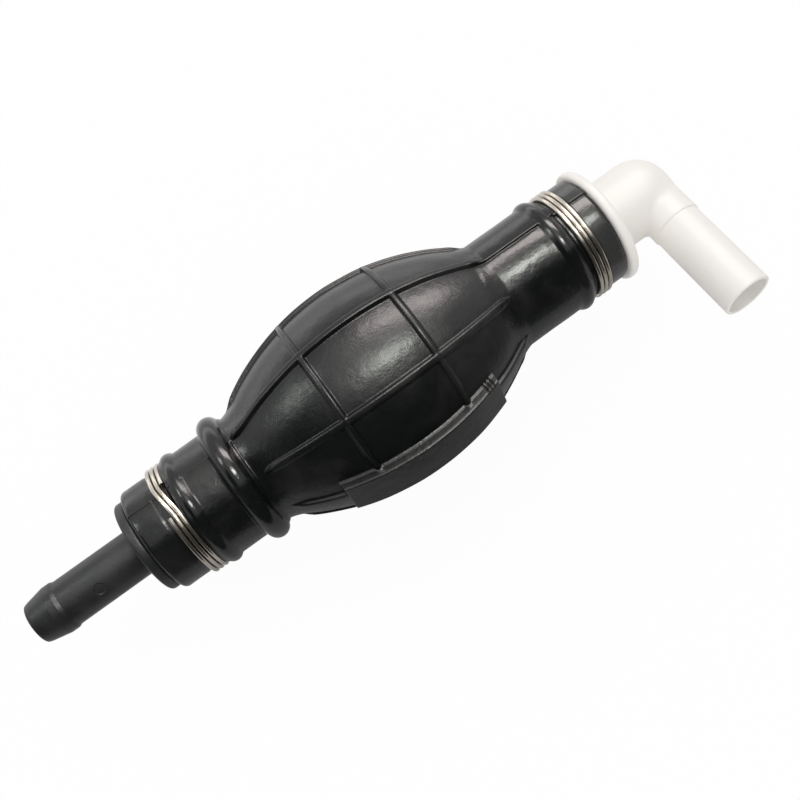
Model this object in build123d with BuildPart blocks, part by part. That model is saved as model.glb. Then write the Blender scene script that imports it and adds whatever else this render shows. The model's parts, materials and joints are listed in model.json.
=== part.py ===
# Siphon bulb pump: a ribbed rubber squeeze bulb with a check valve in each neck.
# The pump lies along +X, in the direction of the flow. The origin is the centre of
# the inlet tail's mouth, the elbow's tail points along -Y, and +Z is up.
import os
from math import cos, radians, sin, sqrt

from build123d import *

os.makedirs("parts", exist_ok=True)

# ---- driving dimensions, in millimetres ----

# hose tails
PORT_BORE_R = 4.2            # bore of both hose tails
INLET_TAIL_R = 5.6           # shank of the inlet tail
INLET_BARB_R = 5.95          # crest of its single barb
INLET_BARB_START = 5.2       # the crest is a short cylinder
INLET_BARB_LAND = 1.8
BARB_BACK = 0.9              # length of the slope behind the crest
INLET_NOSE_R = 4.8           # mouth end of the tail
NOSE_CHAMFER = 1.0
INLET_TAIL_LENGTH = 28.2     # mouth to flange

# fittings in the necks
FLANGE_T = 2.6               # inlet flange
INLET_FLANGE_R = 11.3
FLANGE_EDGE = 0.8            # rounding of both flanges
SPIGOT_R = 10.25             # outside of both valve barrels
SPIGOT_LENGTH = 21.5
NECK_CLEARANCE = 0.05        # radial, spigot in neck

# rubber bulb
BULB_LENGTH = 122.1          # the whole moulding, with both necks
BULB_MID_OFFSET = 61.2       # from its inlet end to the bulb's widest place
NECK_R = 13.2                # plain neck beside the bulb
GRIP_R = 12.6                # neck under each wire clamp
GRIP_WIDTH = 4.3
INLET_LIP_R = 12.7           # neck outside the inlet clamp
OUTLET_LIP_R = 13.1
LIP_EDGE = 1.1
BULB_CROWN_R = 23.3          # bulb between its ribs
BULB_ARC_R = 57.0            # lengthways curve of the bulb
BULB_WALL = 2.8
RIB_HEIGHT = 1.0
RIB_WIDTH = 2.0
RIB_COUNT = 8
RIB_ANGLE = 33.0             # first rib, from +Z towards -Y
HOOP_SPACING = 23.4          # between the two ribs that go round
HOOP_WIDTH = 2.0
PAD_LENGTH = 40.3            # grip pad on one rib
PAD_WIDTH = 9.4
PAD_HEIGHT = 2.5
CHEEK_BEAD_R = 15.9          # big bead next to the bulb, inlet side
CHEEK_BEAD_WIDTH = 5.6
CHEEK_BEAD_GAP = 1.8         # from the bead to the foot of the bulb's arc
CLAMP_BEAD_R = 14.3          # small bead inside each clamp
CLAMP_BEAD_WIDTH = 3.6
CLAMP_BEAD_OFFSET = 4.4      # from the middle of the clamp

# wire clamps
CLAMP_WIRE_D = 1.1
CLAMP_TURNS = 2.8
CLAMP_PITCH = 1.16
CLAMP_CLEARANCE = 0.06
INLET_CLAMP_OFFSET = 8.5     # from the rubber's end to the middle of the clamp
OUTLET_CLAMP_OFFSET = 7.1

# valves
VALVE_MOUTH_STEP = 0.75      # the mouth of each barrel is wider than its chamber
INSERT_CLEARANCE = 0.05      # radial, seats and cages in their bores
SEAT_T = 3.5
SEAT_BORE_R = 3.9
SEAT_LIP_R = 4.9
SEAT_LIP_T = 0.8
SEAL_T = 1.0
SEAL_R = 5.5
POPPET_R = 5.6
POPPET_T = 1.2
STEM_R = 1.5
STEM_LENGTH = 11.0
STEM_CLEARANCE = 0.12
NOSE_R = 1.9                 # rivet that holds the seal on the poppet
NOSE_HEAD_R = 2.7
SPRING_WIRE_D = 0.5
SPRING_R = 3.6               # mean radius of the coil
SPRING_TURNS = 5
SPRING_LENGTH = 8.0          # fitted, with the valve shut
CAGE_T = 2.2
CAGE_HUB_R = 2.6
CAGE_HUB_INNER = 1.5         # hub reaches this far into the spring
CAGE_HUB_OUTER = 0.9         # and this far past the cage
CAGE_HOLES = 8
CAGE_HOLE_R = 1.15
CAGE_HOLE_PITCH_R = 5.6
CAGE_RIM = 0.45              # outside the holes of the narrower cage
OUTLET_SEAT_INSET = 0.5      # seat set in from the outlet spigot's end
INLET_FLOOR_T = 2.2          # floor of the inlet barrel, under the seat

# outlet elbow
ELBOW_FLANGE_R = 14.6
ELBOW_FLANGE_T = 2.2
ELBOW_LEG_R = 8.7
ELBOW_LEG_BORE_R = 4.5
TAIL_ROOT_BORE_R = 4.4       # waterway from the leg to the straight bore
ELBOW_REACH = 14.9           # from the neck's end to the tail's axis
ELBOW_CORNER_R = 5.5
LEG_FILLET = 0.6             # between the flange and the leg
TAIL_ROOT_R = 6.05
TAIL_ROOT_LENGTH = 11.7
OUTLET_TAIL_R = 5.8
OUTLET_TAIL_LENGTH = 35.1    # from the pump's axis to the mouth
OUTLET_PORT_DEPTH = 20.3     # straight bore, from the mouth
TAIL_TIP_EDGE = 0.4

# ---- places along the pump's axis ----

NECK_BORE_R = SPIGOT_R + NECK_CLEARANCE
BULB_START = INLET_TAIL_LENGTH + FLANGE_T
BULB_END = BULB_START + BULB_LENGTH
BULB_MID = BULB_START + BULB_MID_OFFSET
INLET_CLAMP_X = BULB_START + INLET_CLAMP_OFFSET
OUTLET_CLAMP_X = BULB_END - OUTLET_CLAMP_OFFSET
INLET_BEAD_X = INLET_CLAMP_X + CLAMP_BEAD_OFFSET
OUTLET_BEAD_X = OUTLET_CLAMP_X - CLAMP_BEAD_OFFSET
ELBOW_AXIS_X = BULB_END + ELBOW_REACH
INLET_SEAT_FACE = BULB_START + INLET_FLOOR_T + SEAT_T
INLET_SPIGOT_END = BULB_START + SPIGOT_LENGTH
OUTLET_SPIGOT_START = BULB_END - SPIGOT_LENGTH
OUTLET_SEAT_FACE = OUTLET_SPIGOT_START + OUTLET_SEAT_INSET + SEAT_T
CAGE_OFFSET = SEAT_LIP_T + SEAL_T + POPPET_T + SPRING_LENGTH
VALVE_CHAMBER_R = CAGE_HOLE_PITCH_R + CAGE_HOLE_R + CAGE_RIM + INSERT_CLEARANCE
VALVE_MOUTH_R = VALVE_CHAMBER_R + VALVE_MOUTH_STEP
CLAMP_R = GRIP_R + CLAMP_CLEARANCE + CLAMP_WIRE_D / 2

# radii at the middle of the bulb
RIB_CROWN_R = BULB_CROWN_R + RIB_HEIGHT
RIB_ROOT_R = BULB_CROWN_R - BULB_WALL / 3
PAD_CROWN_R = BULB_CROWN_R + PAD_HEIGHT


def bulb_radius(x, crown):
    """Radius at x of the bulb's arc, for the given radius at its middle."""
    return crown - BULB_ARC_R + sqrt(BULB_ARC_R**2 - (x - BULB_MID) ** 2)


def bulb_reach(radius, crown):
    """Half the length over which the bulb's arc is wider than radius."""
    return sqrt(BULB_ARC_R**2 - (radius - crown + BULB_ARC_R) ** 2)


def rib_plane(angle):
    """Plane through the pump's axis: x along the pump, y outwards at this angle."""
    a = radians(angle)
    return Plane(origin=(0, 0, 0), x_dir=(1, 0, 0), z_dir=(0, -cos(a), -sin(a)))


def arc_band(x_from, x_to, inner_crown, outer_crown):
    """Face between two of the bulb's arcs, as x along the pump and y outwards."""
    corners = [
        (x_from, bulb_radius(x_from, outer_crown)),
        (x_to, bulb_radius(x_to, outer_crown)),
        (x_to, bulb_radius(x_to, inner_crown)),
        (x_from, bulb_radius(x_from, inner_crown)),
    ]
    middle = (x_from + x_to) / 2
    outline = [
        ThreePointArc(corners[0], (middle, bulb_radius(middle, outer_crown)), corners[1]),
        Line(corners[1], corners[2]),
        ThreePointArc(corners[2], (middle, bulb_radius(middle, inner_crown)), corners[3]),
        Line(corners[3], corners[0]),
    ]
    return make_face(outline)


def finish(part, name, shade):
    """Label, colour and write one finished piece."""
    part.label = name
    part.color = Color(*shade)
    export_step(part, f"parts/{name}.step")


BLACK = (0.04, 0.04, 0.045)
RUBBER = (0.07, 0.07, 0.075)
WHITE = (0.9, 0.89, 0.87)
NATURAL = (0.82, 0.8, 0.74)
STEEL = (0.62, 0.6, 0.57)
SEAL = (0.12, 0.12, 0.12)

# ---- rubber bulb, one moulding with both necks ----

neck_reach = bulb_reach(NECK_R, BULB_CROWN_R)
cheek_bead_end = BULB_MID - neck_reach - CHEEK_BEAD_GAP
cheek_bead_start = cheek_bead_end - CHEEK_BEAD_WIDTH
cheek_bead_x = cheek_bead_end - CHEEK_BEAD_WIDTH / 2
bore_reach = bulb_reach(NECK_BORE_R, BULB_CROWN_R - BULB_WALL)
rib_reach = bulb_reach(NECK_R, RIB_CROWN_R)
rib_band = arc_band(BULB_MID - rib_reach, BULB_MID + rib_reach, RIB_ROOT_R, RIB_CROWN_R)
hoop_centres = (BULB_MID - HOOP_SPACING / 2, BULB_MID + HOOP_SPACING / 2)
hoop_bands = [
    arc_band(x - HOOP_WIDTH / 2, x + HOOP_WIDTH / 2, RIB_ROOT_R, RIB_CROWN_R) for x in hoop_centres
]
pad_band = arc_band(BULB_MID - PAD_LENGTH / 2, BULB_MID + PAD_LENGTH / 2, RIB_ROOT_R, PAD_CROWN_R)

with BuildPart() as bulb:
    with BuildSketch(Plane.XY):
        with BuildLine():
            Line((BULB_START, NECK_BORE_R), (BULB_START, INLET_LIP_R - LIP_EDGE))
            RadiusArc(
                (BULB_START, INLET_LIP_R - LIP_EDGE), (BULB_START + LIP_EDGE, INLET_LIP_R), LIP_EDGE
            )
            Polyline(
                (BULB_START + LIP_EDGE, INLET_LIP_R),
                (INLET_CLAMP_X - GRIP_WIDTH / 2, INLET_LIP_R),
                (INLET_CLAMP_X - GRIP_WIDTH / 2, GRIP_R),
                (INLET_CLAMP_X + GRIP_WIDTH / 2, GRIP_R),
                (INLET_BEAD_X - CLAMP_BEAD_WIDTH / 2, NECK_R),
            )
            ThreePointArc(
                (INLET_BEAD_X - CLAMP_BEAD_WIDTH / 2, NECK_R),
                (INLET_BEAD_X, CLAMP_BEAD_R),
                (INLET_BEAD_X + CLAMP_BEAD_WIDTH / 2, NECK_R),
            )
            Line(
                (INLET_BEAD_X + CLAMP_BEAD_WIDTH / 2, NECK_R),
                (cheek_bead_start, NECK_R),
            )
            ThreePointArc(
                (cheek_bead_start, NECK_R), (cheek_bead_x, CHEEK_BEAD_R), (cheek_bead_end, NECK_R)
            )
            Line((cheek_bead_end, NECK_R), (BULB_MID - neck_reach, NECK_R))
            ThreePointArc(
                (BULB_MID - neck_reach, NECK_R), (BULB_MID, BULB_CROWN_R), (BULB_MID + neck_reach, NECK_R)
            )
            Line((BULB_MID + neck_reach, NECK_R), (OUTLET_BEAD_X - CLAMP_BEAD_WIDTH / 2, NECK_R))
            ThreePointArc(
                (OUTLET_BEAD_X - CLAMP_BEAD_WIDTH / 2, NECK_R),
                (OUTLET_BEAD_X, CLAMP_BEAD_R),
                (OUTLET_BEAD_X + CLAMP_BEAD_WIDTH / 2, NECK_R),
            )
            Polyline(
                (OUTLET_BEAD_X + CLAMP_BEAD_WIDTH / 2, NECK_R),
                (OUTLET_CLAMP_X - GRIP_WIDTH / 2, GRIP_R),
                (OUTLET_CLAMP_X + GRIP_WIDTH / 2, GRIP_R),
                (OUTLET_CLAMP_X + GRIP_WIDTH / 2, OUTLET_LIP_R),
                (BULB_END - LIP_EDGE, OUTLET_LIP_R),
            )
            RadiusArc((BULB_END - LIP_EDGE, OUTLET_LIP_R), (BULB_END, OUTLET_LIP_R - LIP_EDGE), LIP_EDGE)
            Polyline(
                (BULB_END, OUTLET_LIP_R - LIP_EDGE),
                (BULB_END, NECK_BORE_R),
                (BULB_MID + bore_reach, NECK_BORE_R),
            )
            ThreePointArc(
                (BULB_MID + bore_reach, NECK_BORE_R),
                (BULB_MID, BULB_CROWN_R - BULB_WALL),
                (BULB_MID - bore_reach, NECK_BORE_R),
            )
            Line((BULB_MID - bore_reach, NECK_BORE_R), (BULB_START, NECK_BORE_R))
        make_face()
    revolve(axis=Axis.X)

    # ribs along the bulb
    for rib in range(RIB_COUNT):
        with BuildSketch(rib_plane(RIB_ANGLE + rib * 360 / RIB_COUNT)):
            add(rib_band)
        extrude(amount=RIB_WIDTH / 2, both=True)

    # two ribs round the bulb
    with BuildSketch(Plane.XY):
        add(hoop_bands)
    revolve(axis=Axis.X)

    # grip pad, over the second rib
    with BuildSketch(rib_plane(RIB_ANGLE + 360 / RIB_COUNT)):
        add(pad_band)
    extrude(amount=PAD_WIDTH / 2, both=True)
finish(bulb.part, "bulb", RUBBER)

# ---- inlet fitting: hose tail, flange and valve barrel in one moulding ----

barb_end = INLET_BARB_START + INLET_BARB_LAND

with BuildPart() as inlet_fitting:
    with BuildSketch(Plane.XY):
        with BuildLine():
            Polyline(
                (0, PORT_BORE_R),
                (0, INLET_NOSE_R),
                (NOSE_CHAMFER, INLET_NOSE_R + NOSE_CHAMFER / 2),
                (INLET_BARB_START, INLET_BARB_R),
                (barb_end, INLET_BARB_R),
                (barb_end + BARB_BACK, INLET_TAIL_R),
                (INLET_TAIL_LENGTH, INLET_TAIL_R),
                (INLET_TAIL_LENGTH, INLET_FLANGE_R - FLANGE_EDGE),
            )
            RadiusArc(
                (INLET_TAIL_LENGTH, INLET_FLANGE_R - FLANGE_EDGE),
                (INLET_TAIL_LENGTH + FLANGE_EDGE, INLET_FLANGE_R),
                FLANGE_EDGE,
            )
            Polyline(
                (INLET_TAIL_LENGTH + FLANGE_EDGE, INLET_FLANGE_R),
                (BULB_START, INLET_FLANGE_R),
                (BULB_START, SPIGOT_R),
                (INLET_SPIGOT_END, SPIGOT_R),
                (INLET_SPIGOT_END, VALVE_MOUTH_R),
                (INLET_SEAT_FACE + CAGE_OFFSET, VALVE_MOUTH_R),
                (INLET_SEAT_FACE + CAGE_OFFSET, VALVE_CHAMBER_R),
                (INLET_SEAT_FACE - SEAT_T, VALVE_CHAMBER_R),
                (INLET_SEAT_FACE - SEAT_T, PORT_BORE_R),
                (0, PORT_BORE_R),
            )
        make_face()
    revolve(axis=Axis.X)
finish(inlet_fitting.part, "inlet_fitting", BLACK)

# ---- outlet elbow: valve barrel, flange, leg and hose tail in one moulding ----

leg_end = ELBOW_AXIS_X + TAIL_ROOT_R
flange_face = BULB_END + ELBOW_FLANGE_T
chamber_end = OUTLET_SEAT_FACE + CAGE_OFFSET + CAGE_T

with BuildPart() as outlet_elbow:
    with BuildSketch(Plane.XY):
        with BuildLine():
            Polyline(
                (leg_end, 0),
                (OUTLET_SPIGOT_START, 0),
                (OUTLET_SPIGOT_START, SPIGOT_R),
                (BULB_END, SPIGOT_R),
                (BULB_END, ELBOW_FLANGE_R - FLANGE_EDGE),
            )
            RadiusArc(
                (BULB_END, ELBOW_FLANGE_R - FLANGE_EDGE),
                (BULB_END + FLANGE_EDGE, ELBOW_FLANGE_R),
                FLANGE_EDGE,
            )
            Line((BULB_END + FLANGE_EDGE, ELBOW_FLANGE_R), (flange_face - FLANGE_EDGE, ELBOW_FLANGE_R))
            RadiusArc(
                (flange_face - FLANGE_EDGE, ELBOW_FLANGE_R),
                (flange_face, ELBOW_FLANGE_R - FLANGE_EDGE),
                FLANGE_EDGE,
            )
            Line(
                (flange_face, ELBOW_FLANGE_R - FLANGE_EDGE), (flange_face, ELBOW_LEG_R + LEG_FILLET)
            )
            RadiusArc(
                (flange_face, ELBOW_LEG_R + LEG_FILLET),
                (flange_face + LEG_FILLET, ELBOW_LEG_R),
                -LEG_FILLET,
            )
            Line((flange_face + LEG_FILLET, ELBOW_LEG_R), (leg_end - ELBOW_CORNER_R, ELBOW_LEG_R))
            RadiusArc(
                (leg_end - ELBOW_CORNER_R, ELBOW_LEG_R),
                (leg_end, ELBOW_LEG_R - ELBOW_CORNER_R),
                ELBOW_CORNER_R,
            )
            Line((leg_end, ELBOW_LEG_R - ELBOW_CORNER_R), (leg_end, 0))
        make_face()
    revolve(axis=Axis.X)
    # hose tail, with a thicker root
    tail_plane = Plane(origin=(ELBOW_AXIS_X, 0, 0), x_dir=(1, 0, 0), z_dir=(0, -1, 0))
    with BuildSketch(tail_plane):
        Circle(TAIL_ROOT_R)
    extrude(amount=TAIL_ROOT_LENGTH)
    with BuildSketch(tail_plane):
        Circle(OUTLET_TAIL_R)
    extrude(amount=OUTLET_TAIL_LENGTH)
    tip = outlet_elbow.faces().sort_by(Axis.Y)[0]
    fillet(tip.edges(), radius=TAIL_TIP_EDGE)
    # waterway: valve chamber, leg bore and tail bore
    with BuildSketch(Plane.XY):
        with BuildLine():
            Polyline(
                (OUTLET_SPIGOT_START, 0),
                (OUTLET_SPIGOT_START, VALVE_MOUTH_R),
                (OUTLET_SEAT_FACE, VALVE_MOUTH_R),
                (OUTLET_SEAT_FACE, VALVE_CHAMBER_R),
                (chamber_end, VALVE_CHAMBER_R),
                (chamber_end, ELBOW_LEG_BORE_R),
                (ELBOW_AXIS_X, ELBOW_LEG_BORE_R),
            )
            RadiusArc(
                (ELBOW_AXIS_X, ELBOW_LEG_BORE_R), (ELBOW_AXIS_X + ELBOW_LEG_BORE_R, 0), ELBOW_LEG_BORE_R
            )
            Line((ELBOW_AXIS_X + ELBOW_LEG_BORE_R, 0), (OUTLET_SPIGOT_START, 0))
        make_face()
    revolve(axis=Axis.X, mode=Mode.SUBTRACT)
    with BuildSketch(tail_plane):
        Circle(TAIL_ROOT_BORE_R)
    extrude(amount=OUTLET_TAIL_LENGTH - OUTLET_PORT_DEPTH, mode=Mode.SUBTRACT)
    with BuildSketch(tail_plane.offset(OUTLET_TAIL_LENGTH)):
        Circle(PORT_BORE_R)
    extrude(amount=-OUTLET_PORT_DEPTH, mode=Mode.SUBTRACT)
finish(outlet_elbow.part, "outlet_elbow", WHITE)

# ---- wire clamps, each one length of wire wound round a neck ----

clamp_height = CLAMP_TURNS * CLAMP_PITCH

for name, clamp_x in (("inlet_clamp", INLET_CLAMP_X), ("outlet_clamp", OUTLET_CLAMP_X)):
    with BuildPart() as clamp:
        with BuildLine() as winding:
            Helix(
                pitch=CLAMP_PITCH,
                height=clamp_height,
                radius=CLAMP_R,
                center=(clamp_x - clamp_height / 2, 0, 0),
                direction=(1, 0, 0),
            )
        with BuildSketch(Plane(origin=winding.line @ 0, z_dir=winding.line % 0)):
            Circle(CLAMP_WIRE_D / 2)
        sweep(is_frenet=True)
    finish(clamp.part, name, STEEL)

# ---- the two check valves, alike but for which insert fills the wide mouth ----

narrow = VALVE_CHAMBER_R - INSERT_CLEARANCE
wide = VALVE_MOUTH_R - INSERT_CLEARANCE
valves = (
    ("inlet", INLET_SEAT_FACE, narrow, wide),
    ("outlet", OUTLET_SEAT_FACE, wide, narrow),
)

for end, seat_face, seat_radius, cage_radius in valves:
    lip_face = seat_face + SEAT_LIP_T
    poppet_face = lip_face + SEAL_T
    spring_start = poppet_face + POPPET_T
    cage_face = seat_face + CAGE_OFFSET

    with BuildPart() as seat:
        with BuildSketch(Plane.YZ.offset(seat_face - SEAT_T)):
            Circle(seat_radius)
            Circle(SEAT_BORE_R, mode=Mode.SUBTRACT)
        extrude(amount=SEAT_T)
        with BuildSketch(Plane.YZ.offset(seat_face)):
            Circle(SEAT_LIP_R)
            Circle(SEAT_BORE_R, mode=Mode.SUBTRACT)
        extrude(amount=SEAT_LIP_T)
    finish(seat.part, f"{end}_valve_seat", NATURAL)

    with BuildPart() as seal:
        with BuildSketch(Plane.YZ.offset(lip_face)):
            Circle(SEAL_R)
            Circle(NOSE_R + INSERT_CLEARANCE, mode=Mode.SUBTRACT)
        extrude(amount=SEAL_T)
    finish(seal.part, f"{end}_valve_seal", SEAL)

    with BuildPart() as poppet:
        with BuildSketch(Plane.YZ.offset(poppet_face)):
            Circle(POPPET_R)
        extrude(amount=POPPET_T)
        with BuildSketch(Plane.YZ.offset(spring_start)):
            Circle(STEM_R)
        extrude(amount=STEM_LENGTH)
        chamfer(poppet.faces().sort_by(Axis.X)[-1].edges(), length=STEM_R / 4)
        with BuildSketch(Plane.YZ.offset(lip_face)):
            Circle(NOSE_R)
        extrude(amount=SEAL_T)
        with BuildSketch(Plane.YZ.offset(seat_face)):
            Circle(NOSE_HEAD_R)
        extrude(amount=SEAT_LIP_T)
    finish(poppet.part, f"{end}_valve_poppet", NATURAL)

    with BuildPart() as spring:
        with BuildLine() as coil:
            Helix(
                pitch=(SPRING_LENGTH - SPRING_WIRE_D) / SPRING_TURNS,
                height=SPRING_LENGTH - SPRING_WIRE_D,
                radius=SPRING_R,
                center=(spring_start + SPRING_WIRE_D / 2, 0, 0),
                direction=(1, 0, 0),
            )
        with BuildSketch(Plane(origin=coil.line @ 0, z_dir=coil.line % 0)):
            Circle(SPRING_WIRE_D / 2)
        sweep(is_frenet=True)
    finish(spring.part, f"{end}_valve_spring", STEEL)

    with BuildPart() as cage:
        with BuildSketch(Plane.YZ.offset(cage_face)):
            Circle(cage_radius)
            with PolarLocations(CAGE_HOLE_PITCH_R, CAGE_HOLES):
                Circle(CAGE_HOLE_R, mode=Mode.SUBTRACT)
        extrude(amount=CAGE_T)
        with BuildSketch(Plane.YZ.offset(cage_face - CAGE_HUB_INNER)):
            Circle(CAGE_HUB_R)
        extrude(amount=CAGE_HUB_INNER + CAGE_T + CAGE_HUB_OUTER)
        with BuildSketch(Plane.YZ.offset(cage_face - CAGE_HUB_INNER)):
            Circle(STEM_R + STEM_CLEARANCE)
        extrude(amount=CAGE_HUB_INNER + CAGE_T + CAGE_HUB_OUTER, mode=Mode.SUBTRACT)
    finish(cage.part, f"{end}_valve_cage", NATURAL)
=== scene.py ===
import json
import math

import bpy
import numpy as np
from mathutils import Matrix, Vector


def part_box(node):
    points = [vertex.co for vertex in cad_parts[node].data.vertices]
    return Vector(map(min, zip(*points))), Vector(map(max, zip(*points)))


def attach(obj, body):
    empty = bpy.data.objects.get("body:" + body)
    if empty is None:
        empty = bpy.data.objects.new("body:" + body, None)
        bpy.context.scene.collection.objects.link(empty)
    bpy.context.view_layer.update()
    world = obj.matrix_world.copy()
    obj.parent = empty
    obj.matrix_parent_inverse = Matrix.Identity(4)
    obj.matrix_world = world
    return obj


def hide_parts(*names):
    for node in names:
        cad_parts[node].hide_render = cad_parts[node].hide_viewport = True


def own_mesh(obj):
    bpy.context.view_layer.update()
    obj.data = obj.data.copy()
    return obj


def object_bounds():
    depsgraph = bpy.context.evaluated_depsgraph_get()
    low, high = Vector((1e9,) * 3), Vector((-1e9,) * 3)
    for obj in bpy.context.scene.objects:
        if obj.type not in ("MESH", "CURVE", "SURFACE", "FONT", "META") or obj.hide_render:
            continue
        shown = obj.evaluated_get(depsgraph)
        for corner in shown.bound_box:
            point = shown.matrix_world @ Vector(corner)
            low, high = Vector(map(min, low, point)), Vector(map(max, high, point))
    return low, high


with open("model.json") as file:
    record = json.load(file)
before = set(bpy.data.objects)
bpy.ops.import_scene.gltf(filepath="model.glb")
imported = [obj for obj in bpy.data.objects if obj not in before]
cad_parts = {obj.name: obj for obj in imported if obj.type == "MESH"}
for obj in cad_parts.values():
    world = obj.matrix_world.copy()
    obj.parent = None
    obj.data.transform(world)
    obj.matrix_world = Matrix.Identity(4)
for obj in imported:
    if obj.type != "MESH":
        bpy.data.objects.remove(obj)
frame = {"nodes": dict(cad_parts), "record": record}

cad_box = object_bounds()
MM = 0.001


def place(node):
    """Lowest and highest corner of a CAD node, in millimetres."""
    low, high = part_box(node)
    return np.array(low) / MM, np.array(high) / MM


# ---- places along the pump, from the CAD ----

BULB_START, BULB_END = place("bulb")[0][0], place("bulb")[1][0]
INLET_CLAMP_X = float(np.mean([c[0] for c in place("inlet_clamp")]))
OUTLET_CLAMP_X = float(np.mean([c[0] for c in place("outlet_clamp")]))
ELBOW_END = place("outlet_elbow")[1][0]
TAIL_MOUTH_Y = place("outlet_elbow")[0][1]
TAIL_X = frame["record"]["mounts"][1]["pos_m"][0] / MM
INLET_SPIGOT_END = place("inlet_fitting")[1][0]
OUTLET_SPIGOT_START = place("outlet_elbow")[0][0]

# ---- sizes of the rubber bulb ----

BULB_MID = BULB_START + 61.2
BULB_CROWN_R = 23.35
BULB_ARC_R = 57.0
BULB_WALL = 2.8
NECK_R = 13.2
NECK_BORE_R = 10.3
NECK_BLEND = 2.4
GRIP_R, GRIP_WIDTH = 12.6, 4.3  # groove under a clamp
INLET_LIP_R, OUTLET_LIP_R = 12.7, 13.1
LIP_EDGE = 1.1
FILLET = 0.25
PROFILE_STEP, PROFILE_SOFTNESS = 0.05, 0.13

CHEEK_BEAD_X, CHEEK_BEAD_WIDTH, CHEEK_BEAD_R = 55.0, 5.4, 15.95
CHEEK_RIDGE_X, CHEEK_RIDGE_WIDTH, CHEEK_RIDGE_HEIGHT = CHEEK_BEAD_X + 2.65, 0.9, 0.7
CLAMP_BEAD_GAP, CLAMP_BEAD_WIDTH, CLAMP_BEAD_R = 4.4, 3.6, 14.35

RIB_HEIGHT = 1.0
RIB_COUNT = 8
RIB_ANGLE = math.radians(33)
RIB_STEP = math.tau / RIB_COUNT
RIB_HALF = 0.72
RIB_TIPS = (58.8, 126.4)
RIB_TAPER = 4.5
RIB_ROOT = 0.4  # how deep a rib's tip starts under the surface
RIB_LEAD = 2.5  # how much earlier the last rib starts
HOOP_HALF = 0.62
HOOP_SPACING = 23.4
HOOP_GAP, HOOP_GAP_FADE = 0.75, 0.12  # angle below the pad's middle where a hoop is gone
HOOP_SINK = 1.3  # how far it sinks there, as a share of its height
HOOPS = (BULB_MID - HOOP_SPACING / 2, BULB_MID + HOOP_SPACING / 2)
# rounding of a raised edge and its fall per millimetre
RIB_EDGE, HOOP_EDGE, PAD_EDGE = (0.3, 2.6), (0.52, 2.2), (0.25, 9.0)
EDGE_SHARE = 0.94  # of a full quarter round, so that the fall stays finite

PAD_LENGTH, PAD_SHIFT = 39.8, -0.2
PAD_START = BULB_MID + PAD_SHIFT - PAD_LENGTH / 2
PAD_END = BULB_MID + PAD_SHIFT + PAD_LENGTH / 2
PAD_UPPER, PAD_LOWER = 3.7, 4.7  # half widths above and below its middle line
PAD_BELLY, PAD_REACH = 0.8, 20  # how much narrower the lower half is, this far from its middle
PAD_HEIGHT = 2.5
PAD_SEAT = 1.2  # height over the bulb at which its width is measured
PAD_ANGLE = math.radians(75.8)
PAD_FACING = 0.6  # angle round the pump within which it is shaped
PAD_FILLET = 0.3
PAD_MARKS = (108.6, 109.5, 110.4)  # small marks on the pad's upper wall
MARK_DEPTH, MARK_HALF = 0.3, 0.2

WAVE_HEIGHT = 0.06  # of all the slow waves together
# radians along the pump per millimetre, waves round it, start
WAVE_SET = ((0.52, 3, 0.4), (-0.38, 5, 1.9), (0.23, -4, 3.1), (0.71, 7, 5.0), (0.11, 6, 2.2))

SEAM_ANGLE = math.radians(-8.5)
SEAM_STEP, SEAM_WIDTH, SEAM_FADE = 0.6, 0.34, 5.0
SEAM_GROOVE, GROOVE_OFF, GROOVE_WIDTH = 0.12, 0.12, 0.13
SEAM_RUN_OUT = 2.5  # height of the bulb over the necks where the seam is gone
INLET_SEAM = 0.45  # share of the seam's height on the inlet neck
LAND_START, LAND_HEIGHT = 123.0, 0.2  # raised patch beside the seam on the outlet neck
LAND_ANGLE, LAND_ENDS = 0.62, (0.04, 0.5)  # how far round it reaches, and how its sides run out
LAND_SLANT, LAND_EDGE, LAND_TO_CLAMP = 4, 0.45, 7
BEAD_FADE = 0.5  # rise of a bead over which what lies beside it changes

# parts of the bulb along the pump, and how softly each end of them runs out
HANDLED_PART, HANDLED_ENDS = (59, 126), (7, 7)
# where the rubber is coloured lighter, towards the outlet end
PALE_PART, PALE_ENDS = (100, 124), (8, 5)
PALE_LIP_OFF, PALE_LIP_FADE = 1.5, 1.5
LIP_PALE_TONE, BULB_PALE_TONE = 0.8, 0.22  # share of the lighter colour on the outlet lip and the bulb's outlet end
BEAD_POLISH = 1.1  # how much smoother the beads are, as a share of the dullness

# ---- sizes of the wires, the fittings and the valves ----

WIRE_R, WIRE_PITCH = 0.52, 1.19
CLAMP_GAP = 0.09  # between the wire and the bottom of its groove
CLAMP_R = GRIP_R + WIRE_R + CLAMP_GAP
CLAMP_END_LIFT = 0.35
END_TURN_PARTS = 18  # a wire's end lifts over one of so many parts of a turn
SPRING_R, SPRING_WIRE, SPRING_TURNS = 3.6, 0.5, 5

BARREL_R = 10.25
CHAMBER_R = 7.25
CAGE_BORE_R = 8.0

HOSE_TAIL_R, HOSE_TAIL_BORE_R = 5.6, 4.2
TAIL_NOSE_R, BARB_START_R, BARB_R = 4.8, 5.1, 5.95
INLET_FLANGE_R, INLET_FLANGE_WIDTH = 11.3, 2.6
INLET_CAGE_DEPTH = 4.8
INLET_CHAMBER_FLOOR = 2.2

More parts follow.
